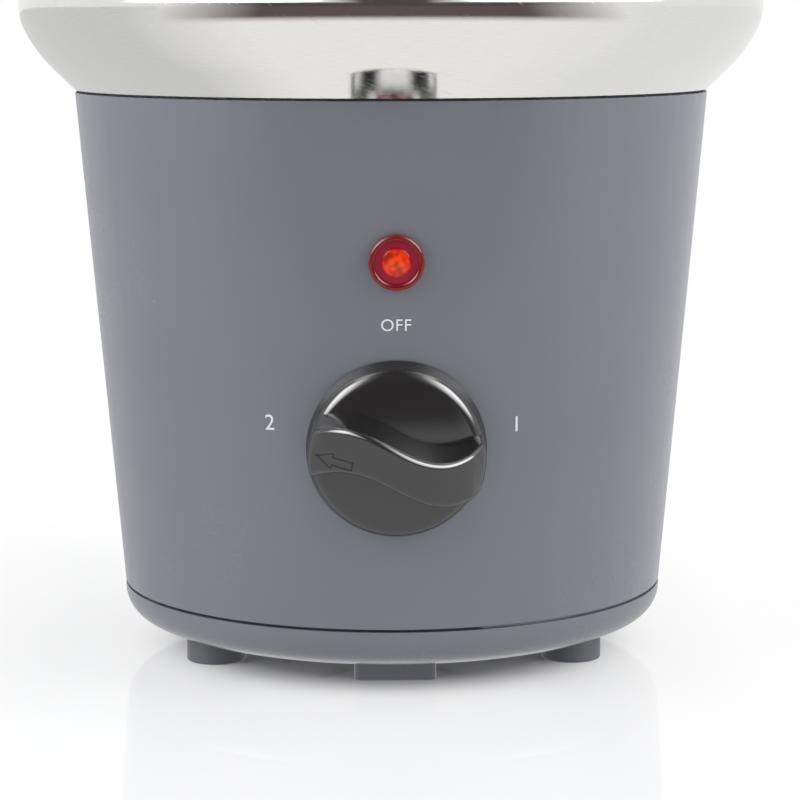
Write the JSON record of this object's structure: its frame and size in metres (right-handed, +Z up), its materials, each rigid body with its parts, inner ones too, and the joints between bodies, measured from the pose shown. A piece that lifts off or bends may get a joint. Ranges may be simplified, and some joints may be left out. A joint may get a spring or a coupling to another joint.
{
  "type": "chocolate fountain",
  "caption": "Table-top chocolate fountain: tapered plastic housing with a selector knob, heated steel bowl, tiered lift-off tower and a screw auger driven by a geared motor.",
  "frame": {"origin": "on the ground under the middle of the bowl, on the axis of the drive shaft", "axes": "+Z up along the tower and the drive shaft, -Y towards the control knob at the front, +X to the right as seen from the front"},
  "size_m": [0.176, 0.176, 0.2895],
  "materials": {
    "housing_grey": "satin moulded ABS, blue grey",
    "bowl_steel": "satin spun stainless steel with a fine polished sheen",
    "tower_steel": "satin stainless steel",
    "screw_white": "food-grade white plastic, slightly warm",
    "knob_black": "black high-gloss moulded plastic",
    "foot_grey": "dark grey moulded foot",
    "deck_grey": "dark heat-resistant plastic",
    "zinc_steel": "zinc-plated steel",
    "spring_steel": "bare steel",
    "stainless_bar": "ground stainless steel",
    "bronze": "sintered bronze",
    "plate_aluminium": "cast aluminium",
    "element_sheath": "heat-darkened steel tube",
    "lens_red": "clear red moulded lens",
    "lamp_glass": "small neon lamp",
    "gear_white": "natural acetal",
    "coil_copper": "enamelled copper winding",
    "magnet_black": "sintered ferrite",
    "seal_silicone": "black silicone",
    "switch_case": "pale moulded phenolic"
  },
  "bodies": {
    "machine": {"housing": "housing_grey", "base_tray": "housing_grey", "foot_front": "housing_grey", "foot_left": "foot_grey", "foot_right": "foot_grey", "foot_rear": "foot_grey", "bowl": "bowl_steel", "bowl_gasket": "seal_silicone", "tray_screws": "zinc_steel", "motor_deck": "deck_grey", "bowl_studs": "zinc_steel", "stud_spacers": "zinc_steel", "stud_nuts": "zinc_steel", "heater_plate": "plate_aluminium", "heater_element": "element_sheath", "heater_clips": "spring_steel", "thermostat": "switch_case", "thermal_fuse": "switch_case", "fuse_strap": "spring_steel", "shaft_bush": "bronze", "bush_nut": "stainless_bar", "shaft_seal": "seal_silicone", "motor_can": "zinc_steel", "motor_cover": "zinc_steel", "motor_bush": "bronze", "motor_screws": "zinc_steel", "gear_plate": "spring_steel", "pole_plate_low": "spring_steel", "pole_plate_high": "spring_steel", "coil_bobbin": "switch_case", "coil": "coil_copper", "rotor_pin": "stainless_bar", "idler_pin": "stainless_bar", "switch_body": "switch_case", "switch_nut": "zinc_steel", "pilot_lens": "lens_red", "pilot_bulb": "lamp_glass", "pilot_nut": "spring_steel", "cord_inlet": "knob_black", "terminal_block": "switch_case"},
    "shaft_line": {"drive_shaft": "stainless_bar", "output_gear": "gear_white", "shaft_clip": "spring_steel"},
    "idler": {"idler_gear": "gear_white"},
    "rotor": {"rotor_hub": "gear_white", "rotor_magnet": "magnet_black"},
    "selector": {"knob": "knob_black", "switch_shaft": "stainless_bar"},
    "screw": {"auger": "screw_white"},
    "tower_foot": {"tower_base": "tower_steel"},
    "tier_one": {"lower_tier": "tower_steel"},
    "tier_two": {"middle_tier": "tower_steel"},
    "tier_top": {"crown": "tower_steel"}
  },
  "joints": [
    {"name": "auger_drive", "type": "hinge", "parent": "machine", "child": "shaft_line", "pos_m": [0, 0, 0.1], "axis": [0, 0, 1], "continuous": true},
    {"name": "idler_spin", "type": "hinge", "parent": "machine", "child": "idler", "pos_m": [0.00118, 0.01254, 0.078], "axis": [0, 0, 1], "continuous": true},
    {"name": "rotor_spin", "type": "hinge", "parent": "machine", "child": "rotor", "pos_m": [0.01169, 0.00675, 0.066], "axis": [0, 0, 1], "continuous": true},
    {"name": "selector_turn", "type": "hinge", "parent": "machine", "child": "selector", "pos_m": [0, -0.06752, 0.0564], "axis": [0, 0.9962, 0.0871], "range_deg": [0, 160]},
    {"name": "auger_lift", "type": "slide", "parent": "shaft_line", "child": "screw", "axis": [0, 0, 1], "range_m": [0, 0.165]},
    {"name": "tower_lift", "type": "slide", "parent": "machine", "child": "tower_foot", "axis": [0, 0, 1], "range_m": [0, 0.18]},
    {"name": "lower_tier_lift", "type": "slide", "parent": "tower_foot", "child": "tier_one", "axis": [0, 0, 1], "range_m": [0, 0.12]},
    {"name": "middle_tier_lift", "type": "slide", "parent": "tier_one", "child": "tier_two", "axis": [0, 0, 1], "range_m": [0, 0.08]},
    {"name": "crown_lift", "type": "slide", "parent": "tier_two", "child": "tier_top", "axis": [0, 0, 1], "range_m": [0, 0.042]}
  ],
  "couplings": [
    {"joint": "idler_spin", "follows": "auger_drive", "ratio": -2.5},
    {"joint": "rotor_spin", "follows": "auger_drive", "ratio": 5.8333}
  ]
}
